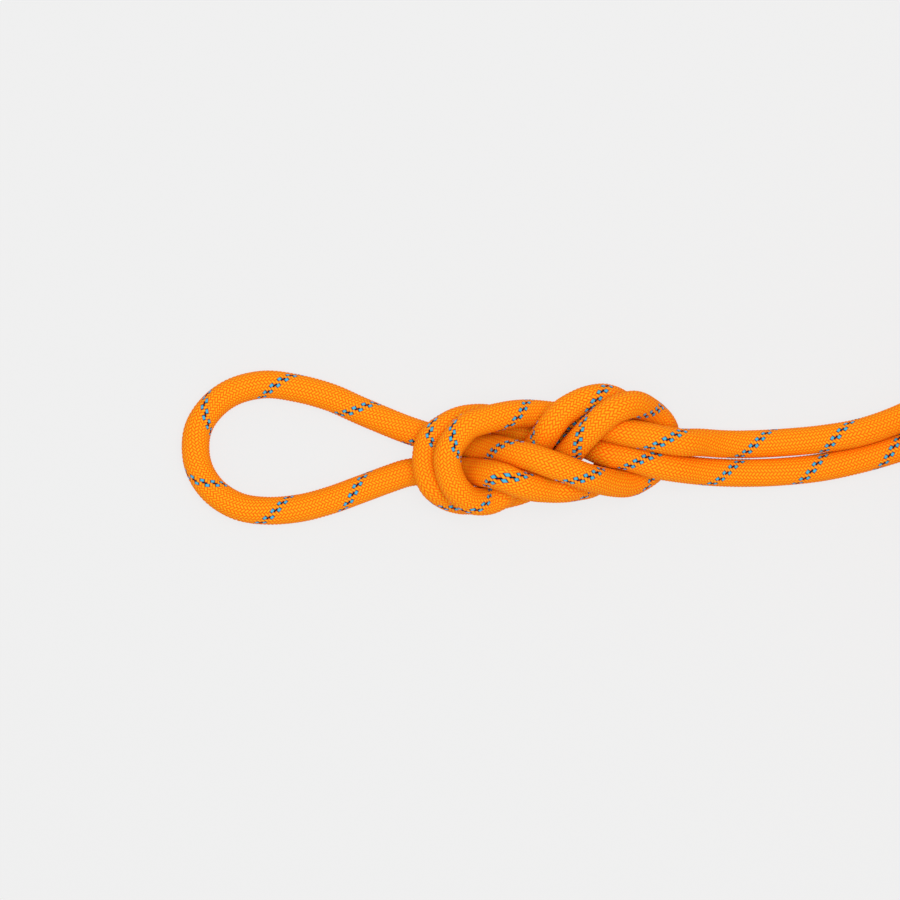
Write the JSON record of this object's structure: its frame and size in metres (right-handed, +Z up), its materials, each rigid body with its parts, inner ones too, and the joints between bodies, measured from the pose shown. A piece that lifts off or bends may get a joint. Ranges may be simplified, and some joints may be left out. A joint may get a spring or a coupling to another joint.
{
  "type": "dynamic climbing rope",
  "caption": "Dynamic climbing rope: braided sheath over parallel core strands, figure-eight on a bight tied at one end, the rest folded into a tied hank.",
  "frame": {"origin": "on the ground, under the middle of the part's box", "axes": "+Z up from the ground, +X from the clip-in loop towards the hank, +Y across"},
  "size_m": [0.5477, 0.1086, 0.1145],
  "materials": {
    "rope_sheath": "braided nylon",
    "core_yarn": "twisted white nylon",
    "end_band": "shrunk film",
    "end_seal": "melted nylon",
    "tie_strap": "hook and loop strap"
  },
  "bodies": {
    "root": {"sheath_tube": "rope_sheath", "core_strand_1": "core_yarn", "core_strand_2": "core_yarn", "core_strand_3": "core_yarn", "core_strand_4": "core_yarn", "core_strand_5": "core_yarn", "core_strand_6": "core_yarn", "core_strand_7": "core_yarn", "tail_end_band": "end_band", "tail_end_seal": "end_seal", "hank_turns": "rope_sheath", "hank_core": "rope_sheath", "hank_end_band": "end_band", "hank_end_seal": "end_seal", "hank_tie": "tie_strap"}
  },
  "joints": []
}
